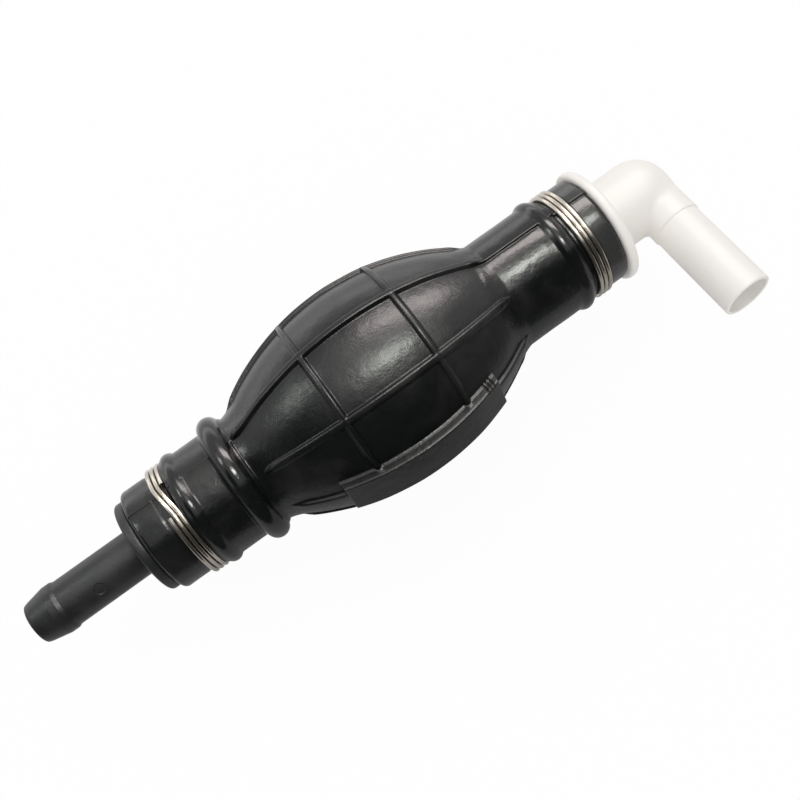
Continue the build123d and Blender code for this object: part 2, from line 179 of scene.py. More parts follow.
ELBOW_LEG_R, ELBOW_DOME = 8.7, 8.4  # radius, and rounding of its closed end
ELBOW_FLANGE_R, ELBOW_FLANGE_WIDTH = 14.3, 2.2
ELBOW_TAIL_R, ELBOW_ROOT_R, ELBOW_ROOT_END = 5.8, 6.05, 11.7
ELBOW_LEG_BORE_R, ELBOW_TAIL_BORE_R, BORE_DOME = 4.5, 4.4, 4.4
MOUTH_BORE_R, MOUTH_FLARE, FLARE_DEPTH, FLARE_LENGTH = 4.2, 0.85, 5.0, 4.5
OUTLET_CAGE_DEPTH, OUTLET_CHAMBER_DEPTH = 4.0, 17.2

SEAT_BORE_R, SEAT_LAND_R, SEAT_LAND = 3.9, 4.9, 0.8
SEAL_BORE_R = 1.95
POPPET_NOSE_R, POPPET_WAIST_R, POPPET_PLATE_R, POPPET_STEM_R = 2.7, 1.9, 5.6, 1.5
POPPET_STEPS = (0.8, 1.8, 3.0)  # where its waist, its plate and its stem start


# ---- shared mesh makers ----

def smooth_max(a, b, blend):
    """The larger of two values, rounded over where they are nearly equal."""
    h = np.clip(0.5 + 0.5 * (a - b) / blend, 0, 1)
    return b + (a - b) * h + blend * h * (1 - h)


def smooth_min(a, b, blend):
    """The smaller of two values, rounded over in the same way."""
    return -smooth_max(-a, -b, blend)


def ease(t):
    """Smooth step from 0 to 1."""
    t = np.clip(t, 0, 1)
    return t * t * (3 - 2 * t)


def between(t, part, ends):
    """One from the start to the end of a part, running out softly inside each end."""
    return ease((t - part[0]) / ends[0]) * ease((part[1] - t) / ends[1])


def stations(stretches):
    """Positions along a line, from (end, spacing) stretches after the first place."""
    places = [stretches[0]]
    for end, gap in stretches[1:]:
        count = max(1, round((end - places[-1]) / gap))
        places.extend(np.linspace(places[-1], end, count + 1)[1:])
    return np.array(places)


def solid_object(name, points, faces, material, body):
    """Mesh object from points in millimetres, smooth, faces outwards, riding on a body."""
    mesh = bpy.data.meshes.new(name)
    mesh.from_pydata((np.asarray(points) * MM).tolist(), [], [list(map(int, f)) for f in faces])
    mesh.materials.append(material)
    mesh.polygons.foreach_set("use_smooth", np.ones(len(mesh.polygons), bool))
    piece = bpy.data.objects.new(name, mesh)
    bpy.context.scene.collection.objects.link(piece)
    face_outwards(mesh)
    mesh.validate()
    mesh.update()
    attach(piece, body)
    return piece


def points_of(mesh):
    """The mesh's points as an array."""
    co = np.empty(len(mesh.vertices) * 3)
    mesh.vertices.foreach_get("co", co)
    return co.reshape(-1, 3)


def face_outwards(mesh):
    """Turn a closed mesh's faces so that its volume counts as positive."""
    co = points_of(mesh)
    mesh.calc_loop_triangles()
    tri = np.empty(len(mesh.loop_triangles) * 3, int)
    mesh.loop_triangles.foreach_get("vertices", tri)
    a, b, c = co[tri.reshape(-1, 3)].transpose(1, 0, 2)
    if np.einsum("ij,ij->i", a, np.cross(b, c)).sum() < 0:
        mesh.flip_normals()


def ring_faces(rows, columns):
    """Quads of a grid that closes on itself both ways, like a ring."""
    r, c = np.meshgrid(np.arange(rows), np.arange(columns), indexing="ij")
    r2, c2 = (r + 1) % rows, (c + 1) % columns
    quads = np.stack([r * columns + c, r * columns + c2, r2 * columns + c2, r2 * columns + c], -1)
    return quads.reshape(-1, 4)


def rounded(corners, steps=6):
    """Closed outline through (x, r, rounding) corners, each rounded by its own radius."""
    outline = []
    count = len(corners)
    for i, (x, r, rounding) in enumerate(corners):
        here = np.array([x, r], float)
        before = np.array(corners[i - 1][:2], float) - here
        after = np.array(corners[(i + 1) % count][:2], float) - here
        if rounding <= 0:
            outline.append(here)
            continue
        to_before, to_after = before / np.linalg.norm(before), after / np.linalg.norm(after)
        half = math.acos(np.clip(to_before @ to_after, -1, 1)) / 2
        reach = rounding / math.tan(half)
        middle = to_before + to_after
        centre = here + middle / np.linalg.norm(middle) * rounding / math.sin(half)
        start, end = here + to_before * reach - centre, here + to_after * reach - centre
        sweep = math.atan2(start[0] * end[1] - start[1] * end[0], start @ end)
        for k in range(steps + 1):
            a = sweep * k / steps
            turn = np.array([[math.cos(a), -math.sin(a)], [math.sin(a), math.cos(a)]])
            outline.append(centre + turn @ start)
    return np.array(outline)


def split_long(outline, longest):
    """The outline with its long straight runs divided."""
    out = []
    for i, here in enumerate(outline):
        after = outline[(i + 1) % len(outline)]
        parts = max(1, math.ceil(np.linalg.norm(after - here) / longest))
        out.extend(here + (after - here) * k / parts for k in range(parts))
    return np.array(out)


def turned_points(outline, sides):
    """Points of an outline turned about the pump's axis, one row of sides for each corner."""
    angle = np.arange(sides) * math.tau / sides
    x, r = outline[:, :1] + 0 * angle, outline[:, 1:] + 0 * angle
    return np.stack([x, -r * np.sin(angle), r * np.cos(angle)], -1).reshape(-1, 3)


def turned(name, outline, material, body, sides=96):
    """A piece turned about the pump's axis from a closed outline that stays off the axis."""
    points = turned_points(outline, sides)
    return solid_object(name, points, ring_faces(len(outline), sides), material, body)


def solid_turned(name, outline, material, body, sides=96):
    """A piece turned about the pump's axis from an open outline that starts and ends on it."""
    points = np.vstack([
        turned_points(outline[1:-1], sides), [outline[0][0], 0, 0], [outline[-1][0], 0, 0],
    ])
    rows = len(outline) - 2
    faces = list(ring_faces(rows, sides)[: (rows - 1) * sides])
    first, last = rows * sides, rows * sides + 1
    for c in range(sides):
        d = (c + 1) % sides
        faces.append((d, c, first))
        faces.append(((rows - 1) * sides + c, (rows - 1) * sides + d, last))
    return solid_object(name, points, faces, material, body)


def net_over(field, xs, ys, zs, settle=4):
    """Closed quad mesh where field(x, y, z) is zero, one point in each crossed cell."""
    grid = np.stack(np.meshgrid(xs, ys, zs, indexing="ij"), -1)
    inside = field(grid[..., 0], grid[..., 1], grid[..., 2]) < 0
    cells = np.zeros(np.array(inside.shape) - 1, int)
    for dx in (0, 1):
        for dy in (0, 1):
            for dz in (0, 1):
                cells += inside[dx: dx + cells.shape[0], dy: dy + cells.shape[1], dz: dz + cells.shape[2]]
    crossed = (cells > 0) & (cells < 8)
    number = np.full(crossed.shape, -1)
    number[crossed] = np.arange(crossed.sum())
    i, j, k = np.nonzero(crossed)
    low = np.stack([xs[i], ys[j], zs[k]], -1)
    high = np.stack([xs[i + 1], ys[j + 1], zs[k + 1]], -1)
    points = (low + high) / 2
    for _ in range(settle):
        value, slope = steepest(field, points)
        points = points - slope * (value / np.maximum((slope ** 2).sum(-1), 1e-6))[:, None]
        points = np.clip(points, low - 0.3 * (high - low), high + 0.3 * (high - low))
    faces = []
    for axis in range(3):
        near = np.take(inside, np.arange(inside.shape[axis] - 1), axis)
        far = np.take(inside, np.arange(1, inside.shape[axis]), axis)
        edge = np.argwhere(near != far)
        side = [(1, 2), (2, 0), (0, 1)][axis]
        edge = edge[(edge[:, side[0]] > 0) & (edge[:, side[1]] > 0)]
        corners = []
        for du, dv in ((1, 1), (0, 1), (0, 0), (1, 0)):
            cell = edge.copy()
            cell[:, side[0]] -= du
            cell[:, side[1]] -= dv
            corners.append(number[tuple(cell.T)])
        quads = np.stack(corners, -1)
        turned_in = ~near[tuple(edge.T)]
        quads[turned_in] = quads[turned_in][:, ::-1]
        faces.append(quads)
    return points, np.vstack(faces)


def steepest(field, points, reach=0.01):
    """Value and slope of the field at points."""
    value = field(*points.T)
    slope = np.empty_like(points)
    for axis in range(3):
        step = np.zeros(3)
        step[axis] = reach
        slope[:, axis] = (field(*(points + step).T) - field(*(points - step).T)) / (2 * reach)
    return value, slope


# ---- materials ----

def node(tree, kind, x, y, *terms, **values):
    """A node at a place in its tree.

    Values are its properties or its inputs by name, and terms fill its inputs in their order.
    What is another node's output is linked.
    """
    made = tree.nodes.new(kind)
    made.location = (x, y)
    for key in [key for key in values if hasattr(made, key)]:
        setattr(made, key, values.pop(key))
    given = list(zip(made.inputs, terms))
    given += [(made.inputs[key.replace("_", " ")], value) for key, value in values.items()]
    for socket, value in given:
        if isinstance(value, bpy.types.NodeSocket):
            tree.links.new(value, socket)
        else:
            socket.default_value = value
    return made


def worked(tree, x, y, operation, *terms):
    """The result of a math node."""
    return node(tree, "ShaderNodeMath", x, y, *terms, operation=operation).outputs[0]


def effect_group(name, inputs, outputs):
    """A shader group that reads a place and some numbers, with its incoming and outgoing sockets."""
    group = bpy.data.node_groups.new(name, "ShaderNodeTree")
    group.interface.new_socket("Place", in_out="INPUT", socket_type="NodeSocketVector")
    for key, value in inputs.items():
        made = group.interface.new_socket(key, in_out="INPUT", socket_type="NodeSocketFloat")
        made.default_value = value
    for key in outputs:
        group.interface.new_socket(key, in_out="OUTPUT", socket_type="NodeSocketFloat")
    given = node(group, "NodeGroupInput", -1000, 0).outputs
    result = node(group, "NodeGroupOutput", 700, 0).inputs
    return group, given, result


def moulded_skin_group():
    """Slow waviness, fine grain and small pits of a moulded surface."""
    group, given, result = effect_group(
        "moulded_skin", {"Grain Size": 1.0, "Pit Size": 1.0, "Pit Share": 0.1, "Wave Height": 0.0},
        ("Height", "Tone"),
    )
    spot = given["Place"]
    grain = node(group, "ShaderNodeTexNoise", -500, 300, spot, Scale=given["Grain Size"], Detail=4.0,
                 Roughness=0.6)
    waves = node(group, "ShaderNodeTexNoise", -500, 0, spot, Scale=230.0, Detail=5.0, Roughness=0.62)
    cells = node(group, "ShaderNodeTexVoronoi", -500, -300, spot, Scale=given["Pit Size"]).outputs
    pit = node(group, "ShaderNodeMapRange", -250, -300, cells["Distance"], From_Max=0.22, To_Min=1.0,
               To_Max=0.0)
    chosen = node(group, "ShaderNodeSeparateColor", -250, -500, cells["Color"])
    rare = worked(group, -50, -500, "LESS_THAN", chosen.outputs["Red"], given["Pit Share"])
    pits = worked(group, 150, -300, "MULTIPLY", pit.outputs["Result"], rare)
    lower = worked(group, 350, 100, "SUBTRACT", grain.outputs["Fac"], pits)
    wavy = worked(group, 500, 250, "MULTIPLY_ADD", waves.outputs["Fac"], given["Wave Height"], lower)
    group.links.new(wavy, result["Height"])
    group.links.new(waves.outputs["Fac"], result["Tone"])
    return group


def handling_marks_group():
    """Fine scratches and faint smears left by handling, as two masks."""
    group, given, result = effect_group(
        "handling_marks", {"Scratch Scale": 300.0, "Scratch Share": 0.05, "Smear Scale": 60.0},
        ("Scratches", "Smears"),
    )
    layers = []
    for y, turn, stretch in ((300, (0.3, 0.2, 0.5), (1, 14, 1)), (0, (0.9, 0.4, 1.9), (12, 1, 1))):
        aim = node(group, "ShaderNodeMapping", -750, y, given["Place"], Rotation=turn, Scale=stretch)
        streak = node(group, "ShaderNodeTexNoise", -500, y, aim.outputs["Vector"],
                      Scale=given["Scratch Scale"], Detail=2.0, Roughness=0.5)
        thin = node(group, "ShaderNodeMapRange", -250, y, streak.outputs["Fac"], From_Min=0.70,
                    From_Max=0.78)
        layers.append(thin.outputs["Result"])
    both = worked(group, 0, 200, "MAXIMUM", *layers)
    share = worked(group, 200, 200, "MULTIPLY", both, given["Scratch Share"])
    smear = node(group, "ShaderNodeTexNoise", -250, -400, given["Place"], Scale=given["Smear Scale"],
                 Detail=3.0, Roughness=0.55, Distortion=0.6)
    soft = node(group, "ShaderNodeMapRange", 0, -400, smear.outputs["Fac"], From_Min=0.45, From_Max=0.7)
    group.links.new(share, result["Scratches"])
    group.links.new(soft.outputs["Result"], result["Smears"])
    return group


MOULDED_SKIN = moulded_skin_group()
HANDLING_MARKS = handling_marks_group()
GATE_MIDDLE, GATE_R = (16.6, -3.75, 4.16), 1.15  # round mark of the gate on the inlet tail
GATE_EDGE = 0.25
GATE_DEPTH = 4.0  # in the same units as the grain
EVEN_SHARE = 0.15  # of the waves that a polished place keeps


def finish_material(
    name, base, worn, roughness, spread, grain, pits, marks, bump, waves=0.0, handled=0.0, pale_tone=None,
    gate=None, **shader_values
):
    """Moulded or drawn finish: two colours, a roughness range, grain, pits and handling marks.

    Pits are their size and share, marks are the scratches' scale and share and the smears' scale,
    and bump is its strength and its height in millimetres.
    Where handled is given, the surface is rougher by that much where its "handled" attribute is 1,
    and smoother and more even where the attribute is below 0.
    Where a lighter colour is given, it is mixed in as strongly as the point attribute of the argument's
    name says.
    A gate is the round mark of a moulding gate, given by its middle and its radius.
    """
    material = bpy.data.materials.new(name)
    material.use_nodes = True
    tree = material.node_tree
    link = tree.links.new
    shader = tree.nodes["Principled BSDF"].inputs
    for key, value in shader_values.items():
        shader[key.replace("_", " ")].default_value = value
    spot = node(tree, "ShaderNodeTexCoord", -1300, 0).outputs["Object"]
    skin = node(tree, "ShaderNodeGroup", -1000, 200, node_tree=MOULDED_SKIN, Place=spot, Grain_Size=grain,
                Pit_Size=pits[0], Pit_Share=pits[1], Wave_Height=waves)
    used = node(tree, "ShaderNodeGroup", -1000, -200, node_tree=HANDLING_MARKS, Place=spot,
                Scratch_Scale=marks[0], Scratch_Share=marks[1], Smear_Scale=marks[2]).outputs
    faded = worked(tree, -750, 0, "MULTIPLY", skin.outputs["Tone"], used["Smears"])
    wear = worked(tree, -550, 0, "MAXIMUM", faded, used["Scratches"])
    shade = node(tree, "ShaderNodeMix", -300, 200, wear, data_type="RGBA", A=(*base, 1), B=(*worn, 1))
    dull = node(tree, "ShaderNodeMapRange", -300, -50, wear, To_Min=roughness, To_Max=roughness + spread)
    colour, rough, height = shade.outputs["Result"], dull.outputs["Result"], skin.outputs["Height"]
    # a lighter colour mixed in where a point attribute says
    if pale_tone:
        pale_share = node(tree, "ShaderNodeAttribute", -500, 500, attribute_name="pale_tone").outputs["Fac"]
        paled = node(tree, "ShaderNodeMix", -100, 400, pale_share, data_type="RGBA", A=colour, B=(*pale_tone, 1))
        colour = paled.outputs["Result"]
    if handled:
        gripped = node(tree, "ShaderNodeAttribute", -1400, 500, attribute_name="handled").outputs["Fac"]
        rough = worked(tree, -150, -100, "MULTIPLY_ADD", gripped, handled, rough)
        even = node(tree, "ShaderNodeMapRange", -1200, 500, gripped, From_Min=-1.0, From_Max=0.0,
                    To_Min=EVEN_SHARE * waves, To_Max=waves)
        link(even.outputs["Result"], skin.inputs["Wave Height"])
    if gate:
        middle, radius = gate
        off = node(tree, "ShaderNodeVectorMath", -1000, -600, spot, [v * MM for v in middle],
                   operation="DISTANCE")
        sunk = node(tree, "ShaderNodeMapRange", -800, -600, off.outputs["Value"], From_Min=radius * MM,
                    From_Max=(radius + GATE_EDGE) * MM, To_Min=-GATE_DEPTH, To_Max=0.0,
                    interpolation_type="SMOOTHSTEP")
        height = worked(tree, -550, -600, "ADD", sunk.outputs["Result"], height)
    relief = node(tree, "ShaderNodeBump", -300, -300, Strength=bump[0], Distance=bump[1] * MM,
                  Height=height)
    link(colour, shader["Base Color"])
    link(rough, shader["Roughness"])
    link(relief.outputs["Normal"], shader["Normal"])
    return material


bulb_rubber = finish_material(
    "bulb_rubber", (0.0042, 0.0048, 0.0050), (0.017, 0.017, 0.016), 0.22, 0.20,
    grain=1500, pits=(1300, 0.05), marks=(420, 0.9, 95), bump=(0.34, 0.05), waves=9.5,
    handled=0.06, pale_tone=(0.042, 0.042, 0.041), Specular_IOR_Level=0.36,
)
black_plastic = finish_material(
    "black_plastic", (0.0125, 0.013, 0.0145), (0.030, 0.030, 0.032), 0.38, 0.16,
    grain=2600, pits=(2600, 0.25), marks=(900, 0.3, 70), bump=(0.9, 0.05),
    gate=(GATE_MIDDLE, GATE_R), Specular_IOR_Level=0.36,
)
white_plastic = finish_material(
    "white_plastic", (0.86, 0.835, 0.795), (0.82, 0.79, 0.74), 0.52, 0.12,
    grain=900, pits=(1500, 0.02), marks=(600, 0.25, 45), bump=(0.15, 0.03),
)
valve_plastic = finish_material(
    "valve_plastic", (0.80, 0.78, 0.72), (0.72, 0.69, 0.62), 0.38, 0.12,
    grain=1200, pits=(1500, 0.04), marks=(600, 0.3, 60), bump=(0.2, 0.03),
)
seal_rubber = finish_material(
    "seal_rubber", (0.022, 0.022, 0.022), (0.045, 0.045, 0.044), 0.55, 0.15,
    grain=2000, pits=(1800, 0.1), marks=(700, 0.2, 80), bump=(0.4, 0.04),
)
clamp_wire = finish_material(
    "clamp_wire", (0.56, 0.52, 0.465), (0.27, 0.24, 0.195), 0.19, 0.20,
    grain=2500, pits=(2200, 0.04), marks=(900, 0.8, 130), bump=(0.25, 0.02),
    Metallic=1.0,
)
spring_steel = finish_material(
    "spring_steel", (0.66, 0.65, 0.63), (0.45, 0.44, 0.42), 0.24, 0.2,
    grain=2500, pits=(2200, 0.05), marks=(900, 0.6, 150), bump=(0.25, 0.02),
    Metallic=1.0,
)


# ---- rubber bulb ----

def bulb_arc(x, crown):
    """Radius of the bulb's lengthways arc, for the given radius at its middle."""
    return crown - BULB_ARC_R + np.sqrt(np.maximum(BULB_ARC_R ** 2 - (x - BULB_MID) ** 2, 1))


def bead(x, centre, width, crest):
    """Round bead standing on the plain neck."""
    rise, half = crest - NECK_R, width / 2
    radius = (half ** 2 + rise ** 2) / (2 * rise)
    return crest - radius + np.sqrt(np.maximum(radius ** 2 - (x - centre) ** 2, 0))


def bulb_core(x):
    """Radius of the bulb and necks alone, running softly into one another."""
    return smooth_max(NECK_R + 0 * x, bulb_arc(x, BULB_CROWN_R), NECK_BLEND)


def plain_bulb():
    """Radius of the bulb without its ribs, as fine steps along the pump."""
    x = np.arange(BULB_START - 3, BULB_END + 3, PROFILE_STEP)
    r = bulb_core(x)
    for centre, width, crest in (
        (CHEEK_BEAD_X, CHEEK_BEAD_WIDTH, CHEEK_BEAD_R),
        (CHEEK_RIDGE_X, CHEEK_RIDGE_WIDTH, bulb_core(CHEEK_RIDGE_X) + CHEEK_RIDGE_HEIGHT),
        (INLET_CLAMP_X + CLAMP_BEAD_GAP, CLAMP_BEAD_WIDTH, CLAMP_BEAD_R),
        (OUTLET_CLAMP_X - CLAMP_BEAD_GAP, CLAMP_BEAD_WIDTH, CLAMP_BEAD_R),
    ):
        r = np.maximum(r, bead(x, centre, width, crest))
    for clamp in (INLET_CLAMP_X, OUTLET_CLAMP_X):
        r[np.abs(x - clamp) < GRIP_WIDTH / 2] = GRIP_R
    r[x < INLET_CLAMP_X - GRIP_WIDTH / 2] = INLET_LIP_R
    r[x > OUTLET_CLAMP_X + GRIP_WIDTH / 2] = OUTLET_LIP_R
    kernel = np.exp(-0.5 * (np.arange(-24, 25) * PROFILE_STEP / PROFILE_SOFTNESS) ** 2)
    return x, np.convolve(r, kernel / kernel.sum(), "same")


PLAIN_BULB = plain_bulb()


def bead_rise(x):
    """How far the beads stand above the bulb and necks alone."""
    return np.interp(x, *PLAIN_BULB) - bulb_core(x)


def wall_drop(distance, rounding, steepness):
    """How far a raised face has fallen at a distance outside its edge; negative is inside."""
    into = np.clip(1 + distance / rounding, 0, 1)
    corner = rounding * (1 - np.sqrt(1 - into ** 2 * EDGE_SHARE))
    return corner + np.maximum(distance, 0) * steepness


def rib_skin(x, angle):
    """Radius of the ribs that run along the bulb; none beyond their tips."""
    turn = (angle - RIB_ANGLE + RIB_STEP / 2) % RIB_STEP - RIB_STEP / 2
    which = np.round((angle - turn - RIB_ANGLE) / RIB_STEP) % RIB_COUNT
    start = np.where(which == RIB_COUNT - 1, RIB_TIPS[0] - RIB_LEAD, RIB_TIPS[0])
    grown = between(x, (start, RIB_TIPS[1]), (RIB_TAPER, RIB_TAPER))
    across = np.abs(turn) * np.maximum(bulb_arc(x, BULB_CROWN_R), NECK_R)
    crest = bulb_core(x) + RIB_HEIGHT * grown - RIB_ROOT * (1 - grown)
    rib = crest - wall_drop(across - RIB_HALF * (0.25 + 0.75 * grown), *RIB_EDGE)
    return np.where(grown > 0, rib, 0)


def hoop_skin(x, angle, middle):
    """Radius of a hoop round the bulb, which sinks away under the pad."""
    under_pad = between(angle, (PAD_ANGLE, PAD_ANGLE + HOOP_GAP), (HOOP_GAP_FADE, HOOP_GAP_FADE))
    height = RIB_HEIGHT * (1 - HOOP_SINK * under_pad)
    return bulb_arc(x, BULB_CROWN_R) + height - wall_drop(np.abs(x - middle) - HOOP_HALF, *HOOP_EDGE)


def pad_lower(from_middle):
    """Half width of the pad below its middle line, at a distance along it from its middle."""
    return PAD_LOWER - PAD_BELLY * (from_middle / PAD_REACH) ** 2


def pad_skin(x, angle):
    """Radius of the flat grip pad on the bulb's side, with the small marks on its upper wall."""
    side = (angle - PAD_ANGLE + math.pi) % math.tau - math.pi
    facing = np.abs(side) < PAD_FACING
    from_middle = np.abs(x - BULB_MID - PAD_SHIFT)
    half_width = np.where(side < 0, PAD_UPPER, pad_lower(from_middle))
    flat = bulb_arc(x, BULB_CROWN_R + PAD_HEIGHT) / np.cos(np.where(facing, side, PAD_FACING))
    marks = sum(np.exp(-(((x - mark) / MARK_HALF) ** 4)) for mark in PAD_MARKS)
    seat = bulb_arc(x, BULB_CROWN_R) + PAD_SEAT
    over = np.maximum(
        np.abs(np.sin(side)) * seat - half_width + MARK_DEPTH * marks * (side < 0),
        from_middle - PAD_LENGTH / 2,
    )
    return np.where(facing, flat - wall_drop(over, *PAD_EDGE), 0)


def bulb_skin(x, angle):
    """Radius of the rubber's outside at places along and round the pump."""
    radius = smooth_max(np.interp(x, *PLAIN_BULB), rib_skin(x, angle), FILLET)
    for middle in HOOPS:
        radius = smooth_max(radius, hoop_skin(x, angle, middle), FILLET)
    radius = smooth_max(radius, pad_skin(x, angle), PAD_FILLET)
    return radius + parting_step(x, angle) + slow_waves(x, angle)


def slow_waves(x, angle):
    """Gentle unevenness of the soft rubber."""
    waves = 0
    for along, around, start in WAVE_SET:
        waves = waves + np.sin(along * x + around * angle + start)
    return WAVE_HEIGHT / len(WAVE_SET) * waves


def parting_step(x, angle):
    """Small step where the two halves of the mould met, gone on the bulb itself and on the beads."""
    on_neck = 1 - ease((bulb_arc(x, BULB_CROWN_R) - NECK_R) / SEAM_RUN_OUT)
    off_beads = 1 - ease((bead_rise(x) - 0.2) / BEAD_FADE)
    on_neck = on_neck * off_beads * np.where(x < BULB_MID, INLET_SEAM, 1.0)
    rise = 0
    for seam in (SEAM_ANGLE, SEAM_ANGLE + math.pi):
        past = ((angle - seam + math.pi) % math.tau - math.pi) * NECK_R
        rise = rise + SEAM_STEP * ease(0.5 - past / SEAM_WIDTH) * np.exp(np.minimum(past, 0) / SEAM_FADE)
        rise = rise - SEAM_GROOVE * np.exp(-(((past - GROOVE_OFF) / GROOVE_WIDTH) ** 2))
    turn = (angle - SEAM_ANGLE + math.pi) % math.tau - math.pi
    land = between(turn, (0, LAND_ANGLE), LAND_ENDS)
    land = land * ease((x - LAND_START + LAND_SLANT * turn) / LAND_EDGE)
    return rise * on_neck + LAND_HEIGHT * land * off_beads * (x < OUTLET_CLAMP_X - LAND_TO_CLAMP)


def bulb_columns(x):
    """Angles of the mesh's columns at x, at fixed distances from the edges of the ribs and the pad."""
    arc = max(bulb_arc(x, BULB_CROWN_R), NECK_R)
    beside_rib = np.array([0.11, 0.3, 0.5, 0.66, 0.78, 0.9, 1.05, 1.22, 1.45, 1.9])
    beside_pad = np.array([-0.9, -0.5, -0.3, -0.18, -0.06, 0.05, 0.18, 0.34, 0.6, 1.0])
    lower = pad_lower(min(abs(x - BULB_MID - PAD_SHIFT), PAD_REACH))
    above_pad = PAD_ANGLE - np.arcsin((PAD_UPPER + beside_pad[::-1]) / (arc + PAD_SEAT))
    below_pad = PAD_ANGLE + np.arcsin((lower + beside_pad) / (arc + PAD_SEAT))
    angles = []
    for rib in range(RIB_COUNT):
        centre = RIB_ANGLE + rib * RIB_STEP
        own = centre + np.concatenate([-beside_rib[::-1], [0], beside_rib]) / arc
        after, last = [], centre + RIB_STEP - beside_rib[-1] / arc
        if rib == 0:
            after, last = above_pad, above_pad[0]
        if rib == 1:
            own = np.concatenate([own, below_pad])
        angles.extend([*own, *np.linspace(own[-1], last, 8)[1:-1], *after])
    return np.array(angles)


def make_bulb():
    """The rubber bulb: rows along its outside, closest at the beads, grips and pad, then back inside."""
    along = stations([
        BULB_START + LIP_EDGE,
        (INLET_CLAMP_X - 2.9, 1.0), (INLET_CLAMP_X - 1.4, 0.18), (INLET_CLAMP_X + 1.6, 0.5),
        (INLET_CLAMP_X + 6.6, 0.18), (CHEEK_BEAD_X - 3.2, 0.8), (CHEEK_BEAD_X + 3.5, 0.13),
        (BULB_MID - 31, 0.3), (PAD_START - 0.6, 0.9), (PAD_START + 0.7, 0.1), (HOOPS[0] - 1.6, 0.8),
        (HOOPS[0] + 1.6, 0.16), (HOOPS[1] - 1.6, 0.9), (HOOPS[1] + 1.6, 0.16), (PAD_MARKS[0] - 0.6, 0.8),
        (PAD_MARKS[-1] + 0.5, 0.11), (PAD_END + 0.6, 0.1), (BULB_MID + 26, 0.9), (BULB_MID + 36, 0.35),
        (OUTLET_CLAMP_X - 6.6, 0.8), (OUTLET_CLAMP_X - 1.6, 0.18), (OUTLET_CLAMP_X + 1.4, 0.5),
        (OUTLET_CLAMP_X + 2.9, 0.18), (BULB_END - LIP_EDGE, 1.0),
    ])
    quarter = np.linspace(math.pi / 2, 0, 7)[:-1]
    edge = [(LIP_EDGE * (1 - math.sin(a)), LIP_EDGE * (1 - math.cos(a))) for a in quarter]
    rows = [(BULB_START + inwards, shrink) for inwards, shrink in edge]
    rows += [(x, 0) for x in along]
    rows += [(BULB_END - inwards, shrink) for inwards, shrink in edge[::-1]]
    points = []
    for x, shrink in rows:
        angle = bulb_columns(x)
        inner_x = np.clip(x, BULB_START + LIP_EDGE, BULB_END - LIP_EDGE)
        r = bulb_skin(inner_x + 0 * angle, angle) - shrink
        points.append(np.stack([x + 0 * r, -r * np.sin(angle), r * np.cos(angle)], -1))
    inside = np.concatenate([
        np.linspace(BULB_END, BULB_MID + 27, 12), np.linspace(BULB_MID + 26, BULB_MID - 26, 27),
        np.linspace(BULB_MID - 27, BULB_START, 12),
    ])
    for x in inside:
        angle = bulb_columns(x)
        r = max(NECK_BORE_R, bulb_arc(x, BULB_CROWN_R - BULB_WALL)) + 0 * angle
        points.append(np.stack([x + 0 * r, -r * np.sin(angle), r * np.cos(angle)], -1))
    piece = solid_object(
        "pump_bulb", np.vstack(points), ring_faces(len(points), len(points[0])), bulb_rubber, "pump_body"
    )
    mark_handled(piece.data)
    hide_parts("bulb")


def mark_handled(mesh):
    """Mark where the squeezed part is dull, the beads are rubbed bright and the rubber is coloured lighter.
    """
    x = points_of(mesh)[:, 0] / MM
    handled = between(x, HANDLED_PART, HANDLED_ENDS)
    handled = handled - BEAD_POLISH * ease((bead_rise(x) - 0.4) / BEAD_FADE)
    pale_tone = LIP_PALE_TONE * ease((x - OUTLET_CLAMP_X - PALE_LIP_OFF) / PALE_LIP_FADE)
    pale_tone = pale_tone + BULB_PALE_TONE * between(x, PALE_PART, PALE_ENDS)
    for name, share in (("handled", handled), ("pale_tone", pale_tone)):
        mesh.attributes.new(name, "FLOAT", "POINT").data.foreach_set("value", share)


# ---- wire, for both clamps and both valve springs ----

